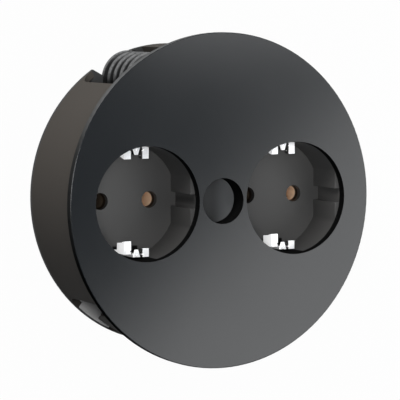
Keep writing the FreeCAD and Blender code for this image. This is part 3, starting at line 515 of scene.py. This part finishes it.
for node, label, width in (("cover_plate", "cover_disc", 0.5), ("socket_block", "socket_insert", 0.15),
                           ("housing_shell", "housing_wall", 0.18), ("rear_plate", "rear_sheet", 0.12),
                           ("centre_cap", "well_floor", 0.1), ("plug_washers", "plug_discs", 0.25),
                           ("earth_clip_left", "earth_spring_left", 0.1),
                           ("earth_clip_right", "earth_spring_right", 0.1)):
    piece = merged_copy(node, label)
    if node == "cover_plate":
        round_rim(piece, width, 0.24)
    else:
        soften(piece, width)
    stand_for(piece, node)


# Pieces grown by geometry nodes

class Recipe(Tree):
    """A geometry node tree with named inputs, whose grid is wrapped round an upright axis."""

    def __init__(self, name, inputs):
        super().__init__(bpy.data.node_groups.new(name, "GeometryNodeTree"))
        self.tree.interface.new_socket("Geometry", in_out="OUTPUT", socket_type="NodeSocketGeometry")
        self.sockets = {}
        for label, value in inputs.items():
            kind = "NodeSocketInt" if isinstance(value, int) else "NodeSocketFloat"
            socket = self.tree.interface.new_socket(label, in_out="INPUT", socket_type=kind)
            socket.default_value = value
            self.sockets[label] = socket
        self.entry = self.tree.nodes.new("NodeGroupInput")
        self.exit = self.tree.nodes.new("NodeGroupOutput")

    def inputs(self, *labels):
        return [Signal(self, self.entry.outputs[label]) for label in labels]

    def vector(self, x=0.0, y=0.0, z=0.0):
        return self.node("ShaderNodeCombineXYZ", {}, {0: x, 1: y, 2: z})

    def open_grid(self):
        """A unit grid, with each point's share of the way round it and of the way along it."""
        turns, rows = self.inputs("Turns", "Rows")
        counts = {"Size X": 1.0, "Size Y": 1.0, "Vertices X": turns, "Vertices Y": rows}
        grid = self.node("GeometryNodeMeshGrid", {}, counts)
        place = self.node("GeometryNodeInputPosition")
        lap, share = (self.node("ShaderNodeSeparateXYZ", {}, {0: place}, name) + 0.5 for name in "XY")
        return grid, lap, share

    def legs(self, share, lengths):
        """For a point at a share of an outline: how much of each of its legs lies behind the point."""
        starts = [0.0, lengths[0]]
        for length in lengths[1:]:
            starts.append(starts[-1] + length)
        path = share * starts.pop()
        return [(path - start).largest(0.0).smallest(length) for start, length in zip(starts, lengths)]

    def around(self, turn, reach, level, x=0.0, y=0.0):
        """The point at a turn, a reach and a level about the upright axis through x and y."""
        return self.vector(turn.math("COSINE", turn) * reach + x, turn.math("SINE", turn) * reach + y, level)

    def close(self, geometry, material):
        real = self.node("GeometryNodeRealizeInstances", {}, {0: geometry})
        dressed = self.node("GeometryNodeSetMaterial", {}, {"Geometry": real, "Material": material})
        self.feed(self.exit.inputs[0], dressed)

    def grow(self, label, values):
        """Runs the tree with these values and returns its result as a plain mesh object."""
        seed = new_object(label + "_seed", bpy.data.meshes.new(label + "_seed"))
        modifier = seed.modifiers.new("recipe", "NODES")
        modifier.node_group = self.tree
        for name, value in values.items():
            modifier[self.sockets[name].identifier] = value
        seed.update_tag()
        graph = bpy.context.evaluated_depsgraph_get()
        mesh = bpy.data.meshes.new_from_object(seed.evaluated_get(graph))
        mesh.name = label
        seed.modifiers.remove(modifier)
        bpy.data.objects.remove(seed)
        return new_object(label, mesh)


def ribbed_sleeve():
    """Rubber plug: a grid wrapped into a closed turned shape whose radius follows the ribs."""
    recipe = Recipe("ribbed_sleeve", {
        "Radius": PLUG_RAD * MM, "Rib depth": RIB_DEEP * MM, "Rib pitch": RIB_PITCH * MM,
        "Top": PLUG_TOP * MM, "Bottom": REAR_LOW * MM, "Seat radius": (WASHER_RAD + SEAT_PLAY) * MM,
        "Seat depth": WASHER_THICK * MM, "Centre X": 0.0, "Centre Y": 0.0, "Turns": 96, "Rows": 200,
    })
    grid, lap, share = recipe.open_grid()
    top, bottom, radius = recipe.inputs("Top", "Bottom", "Radius")
    seat_rad, seat_deep = recipe.inputs("Seat radius", "Seat depth")
    rib_deep, rib_pitch = recipe.inputs("Rib depth", "Rib pitch")
    # The outline's legs: closed top, outer side, rear rim, wall of the seat, closed seat
    lengths = (radius, top - bottom, radius - seat_rad, seat_deep, seat_rad)
    over, down, inward, up, shut = recipe.legs(share, lengths)
    level = top - down + up
    # Grooves: a flat-bottomed dip with eased sides each rib pitch; the lowest rib spreads to the notch
    height = level - bottom
    dip = 1 - recipe.ease(abs((height / rib_pitch).fraction() - 0.5), GROOVE_FLAT, GROOVE_EASE)
    beyond_top = over.equals(radius)
    outer_side = beyond_top * inward.equals(0.0)
    foot = (1 - recipe.ease(height, FOOT_HIGH * MM, (FOOT_HIGH + FOOT_EASE) * MM)) * (FOOT_SPREAD * MM)
    reach = over - inward - shut - dip * rib_deep * outer_side + foot * outer_side
    noted = recipe.node("GeometryNodeStoreNamedAttribute", {"data_type": "FLOAT", "domain": "POINT"},
                        {"Geometry": grid, "Name": "groove", "Value": dip * beyond_top})
    place = recipe.around(lap * math.tau, reach, level, *recipe.inputs("Centre X", "Centre Y"))
    wrapped = recipe.node("GeometryNodeSetPosition", {}, {"Geometry": noted, "Position": place})
    welded = recipe.node("GeometryNodeMergeByDistance", {}, {"Geometry": wrapped, "Distance": SLEEVE_WELD * MM})
    smooth = recipe.node("GeometryNodeSetShadeSmooth", {}, {"Geometry": welded, "Shade Smooth": True})
    recipe.close(smooth, finishes["grip_rubber"])
    return recipe


def slotted_screws():
    """Countersunk screws: one wrapped grid with a helical thread, its slot cut out, set on four places."""
    recipe = Recipe("slotted_screws", {
        "Head radius": SCREW_HEAD / 2 * MM, "Shaft radius": SCREW_RAD * MM,
        "Head height": (SCREW_HEAD / 2 - SCREW_RAD) * MM, "Length": 10.0 * MM, "Thread pitch": 1.1 * MM,
        "Thread depth": 0.28 * MM, "Slot width": 0.8 * MM, "Slot length": 3.9 * MM,
        "Span X": 1.0, "Span Y": 1.0, "Face": 0.0, "Shaft way": 1.0, "Turns": 40, "Rows": 110,
    })
    grid, lap, share = recipe.open_grid()
    head, shaft, high, long = recipe.inputs("Head radius", "Shaft radius", "Head height", "Length")
    thread_pitch, thread_deep, way = recipe.inputs("Thread pitch", "Thread depth", "Shaft way")
    # The outline's legs: face, cone of the head, threaded shaft, tip
    face, cone, straight, tip = recipe.legs(share, (head, high, long - high, shaft))
    ridge = abs((straight / thread_pitch + lap).fraction() - 0.5) * 2.0
    begun = recipe.node("ShaderNodeMapRange", {}, {"Value": straight, "From Min": 0.0, "From Max": THREAD_START * MM})
    before_tip = tip.math("LESS_THAN", tip, TOUCH * MM)
    thread = ridge * thread_deep * (begun * before_tip)
    slope = (head - shaft) / high
    reach = (face - (cone * slope + tip + thread)).largest(0.0)
    place = recipe.around(lap * math.tau * way, reach, (cone + straight) * way)
    wrapped = recipe.node("GeometryNodeSetPosition", {}, {"Geometry": grid, "Position": place})
    welded = recipe.node("GeometryNodeMergeByDistance", {}, {"Geometry": wrapped, "Distance": WELD * MM})
    slot_long, slot_wide = recipe.inputs("Slot length", "Slot width")
    cutter = recipe.node("GeometryNodeMeshCube", {}, {"Size": recipe.vector(slot_long, slot_wide, slot_wide * 2.0)})
    slotted = recipe.node("GeometryNodeMeshBoolean", {"operation": "DIFFERENCE", "solver": "EXACT"},
                          {"Mesh 1": welded, "Mesh 2": cutter})
    span_x, span_y, level = recipe.inputs("Span X", "Span Y", "Face")
    corners = {"Size X": span_x, "Size Y": span_y, "Vertices X": 2, "Vertices Y": 2}
    spots = recipe.node("GeometryNodeMeshGrid", {}, corners)
    lifted = recipe.node("GeometryNodeSetPosition", {}, {"Geometry": spots, "Offset": recipe.vector(z=level)})
    many = recipe.node("GeometryNodeInstanceOnPoints", {}, {"Points": lifted, "Instance": slotted})
    recipe.close(many, finishes["zinc_steel"])
    return recipe


def outward(piece):
    """Points every face of a closed piece outwards."""
    work = bmesh.new()
    work.from_mesh(piece.data)
    bmesh.ops.recalc_face_normals(work, faces=work.faces)
    work.to_mesh(piece.data)
    work.free()


def turned(radius, degrees):
    """The point at a radius and a turn about the body's axis, in metres."""
    angle = math.radians(degrees)
    return radius * math.cos(angle) * MM, radius * math.sin(angle) * MM


sleeve = ribbed_sleeve()
plug_x, plug_y = turned(PLUG_CIRCLE, PLUG_TURN)
for word, sign in (("upper", 1), ("lower", -1)):
    piece = sleeve.grow("ribbed_plug_" + word, {"Centre X": plug_x * sign, "Centre Y": plug_y * sign})
    outward(piece)
    stand_for(piece, "grip_plug_" + word)

screws = slotted_screws()
boss_x, boss_y = turned(BOSS_CIRCLE, BOSS_TURN)
for node, label, face, way, long in (("rear_screws", "rear_plate_screws", REAR_LOW, 1.0, 10.0),
                                     ("block_screws", "insert_screws", -0.1, -1.0, 12.0)):
    piece = screws.grow(label, {"Span X": 2 * boss_x, "Span Y": 2 * boss_y, "Face": face * MM,
                                "Shaft way": way, "Length": long * MM})
    outward(piece)
    piece.data.shade_smooth()
    piece.data.set_sharp_from_angle(angle=math.radians(SCREW_CREASE))
    stand_for(piece, node)


# Floor, light and camera, in metres and watts

def make_floor():
    """Pale floor under the rear face; the camera sees it as white with the part's own soft shadow."""
    mesh = bpy.data.meshes.new("floor")
    half, low = 6.0, (REAR_LOW - 0.02) * MM
    corners = [(-half, -half, low), (half, -half, low), (half, half, low), (-half, half, low)]
    mesh.from_pydata(corners, [], [(0, 1, 2, 3)])
    floor = new_object("floor", mesh)
    finish = Finish("pale_floor", Roughness=0.9)
    finish.set("Base Color", grey(0.3))
    glow = finish.node("ShaderNodeEmission", {}, {"Color": grey(1.0), "Strength": 1.0})
    finish.show_where(finish.ray("Camera") * 0.975 + finish.ray("Glossy") * 0.15, glow)
    mesh.materials.append(finish.material)


def make_world(level):
    """Even studio light all round, faintly blue; straight views see white."""
    world = bpy.data.worlds.new("studio")
    bpy.context.scene.world = world
    world.use_nodes = True
    world.node_tree.nodes.clear()
    studio = Tree(world.node_tree)
    soft = studio.node("ShaderNodeBackground", {}, {"Color": (0.87, 1.0, 1.13, 1.0), "Strength": level})
    white = studio.node("ShaderNodeBackground", {}, {"Color": grey(1.0), "Strength": 1.0})
    mix = studio.node("ShaderNodeMixShader", {}, {0: studio.ray("Camera"), 1: soft, 2: white})
    out = studio.tree.nodes.new("ShaderNodeOutputWorld")
    studio.feed(out.inputs["Surface"], mix)


def add_panel(name, place, target, size, power, roll=0.0, mirrored=True):
    """A square soft box that faces a point, turned about its own axis by the roll."""
    lamp = bpy.data.lights.new(name, "AREA")
    lamp.shape = "SQUARE"
    lamp.size = size
    lamp.energy = power
    panel = new_object(name, lamp)
    panel.location = place
    aim = Vector(target) - Vector(place)
    face = aim.to_track_quat("-Z", "Y").to_matrix() @ Matrix.Rotation(math.radians(roll), 3, "Z")
    panel.rotation_euler = face.to_euler()
    panel.visible_camera = False
    panel.visible_glossy = mirrored


def add_camera():
    """The photograph's view, solved from the socket pattern and the cover's rim."""
    lens = bpy.data.cameras.new("photo_view")
    lens.sensor_width = 36.0
    lens.lens = 220.8
    lens.clip_start = 0.05
    camera = new_object("photo_view", lens)
    right = Vector((0.8838, 0.0, 0.4678)).normalized()
    back = Vector((-0.4662, 0.0816, 0.8809)).normalized()
    up = back.cross(right).normalized()
    right = up.cross(back).normalized()
    turn = Matrix((right, up, back)).transposed().to_4x4()
    camera.matrix_world = Matrix.Translation((-0.40356, 0.06976, 0.74523 + COVER_TOP * MM)) @ turn
    bpy.context.scene.camera = camera


make_floor()
make_world(0.25)
above_right, above_top, middle = (0.262, -0.143), (0.145, 0.12), (0.0, 0.0, 0.0)
add_panel("near_right_panel", (*above_right, 0.24), (*above_right, 0.0), size=0.34, power=1.14, roll=42.0)
add_panel("near_top_panel", (*above_top, 0.24), (*above_top, 0.0), size=0.14, power=0.2)
add_panel("upper_left_panel", (-0.3, 0.5, 0.22), (0.0, 0.0, -0.02), size=0.3, power=5.0, mirrored=False)
add_panel("camera_side_panel", (-0.40, 0.06, 0.73), middle, size=0.2, power=3.7)
add_camera()
scene = bpy.context.scene
scene.view_settings.view_transform = "Standard"
